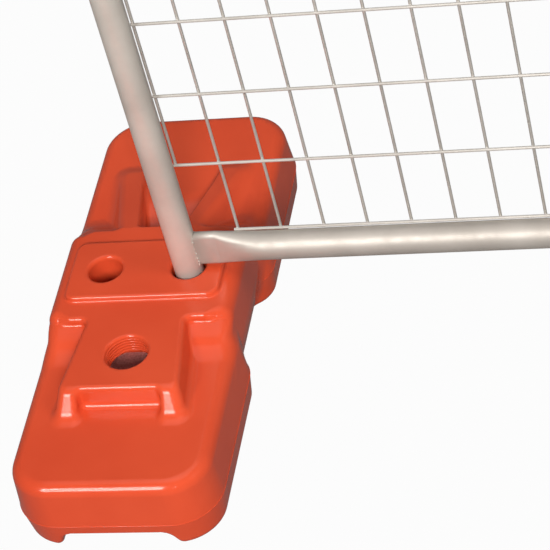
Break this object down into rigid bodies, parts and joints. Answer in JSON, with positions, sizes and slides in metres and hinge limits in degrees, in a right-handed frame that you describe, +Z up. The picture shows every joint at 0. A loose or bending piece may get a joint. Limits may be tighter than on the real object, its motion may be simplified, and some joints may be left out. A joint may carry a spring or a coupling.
{
  "type": "temporary fence panel",
  "caption": "Temporary fence panel of galvanised tube and welded wire mesh, its posts standing in ballast-filled plastic feet that swivel and pull off.",
  "frame": {"origin": "on the ground under the middle of the panel", "axes": "+X along the panel to the right seen from the front, +Y through the panel to its rear face, +Z up"},
  "size_m": [2.7172, 0.622, 2.119],
  "materials": {
    "orange_plastic": "satin",
    "ballast": "matte",
    "black_plastic": "satin",
    "mesh_wire": "satin",
    "galvanised_tube": "satin"
  },
  "bodies": {
    "panel": {"left_post": "galvanised_tube", "right_post": "galvanised_tube", "bottom_rail": "galvanised_tube", "top_rail": "galvanised_tube", "vertical_wires": "mesh_wire", "horizontal_wire_01": "mesh_wire", "horizontal_wire_02": "mesh_wire", "horizontal_wire_03": "mesh_wire", "horizontal_wire_04": "mesh_wire", "horizontal_wire_05": "mesh_wire", "horizontal_wire_06": "mesh_wire", "horizontal_wire_07": "mesh_wire", "horizontal_wire_08": "mesh_wire", "horizontal_wire_09": "mesh_wire", "horizontal_wire_10": "mesh_wire", "horizontal_wire_11": "mesh_wire", "horizontal_wire_12": "mesh_wire", "horizontal_wire_13": "mesh_wire", "horizontal_wire_14": "mesh_wire", "horizontal_wire_15": "mesh_wire", "horizontal_wire_16": "mesh_wire", "horizontal_wire_17": "mesh_wire", "horizontal_wire_18": "mesh_wire", "horizontal_wire_19": "mesh_wire", "horizontal_wire_20": "mesh_wire", "left_post_cap": "black_plastic", "right_post_cap": "black_plastic"},
    "left_leg_plug": {"left_leg_plug": "black_plastic"},
    "left_foot": {"left_foot_shell": "orange_plastic", "left_foot_ballast": "ballast"},
    "right_leg_plug": {"right_leg_plug": "black_plastic"},
    "right_foot": {"right_foot_shell": "orange_plastic", "right_foot_ballast": "ballast"}
  },
  "joints": [
    {"name": "left_foot_swivel", "type": "hinge", "parent": "panel", "child": "left_leg_plug", "pos_m": [-1.19065, 0, 0.0323], "axis": [0, 0, 1], "continuous": true},
    {"name": "left_foot_pull_off", "type": "slide", "parent": "left_leg_plug", "child": "left_foot", "axis": [0, 0, -1], "range_m": [0, 0.14]},
    {"name": "right_foot_swivel", "type": "hinge", "parent": "panel", "child": "right_leg_plug", "pos_m": [1.19065, 0, 0.0323], "axis": [0, 0, 1], "continuous": true},
    {"name": "right_foot_pull_off", "type": "slide", "parent": "right_leg_plug", "child": "right_foot", "axis": [0, 0, -1], "range_m": [0, 0.14]}
  ]
}
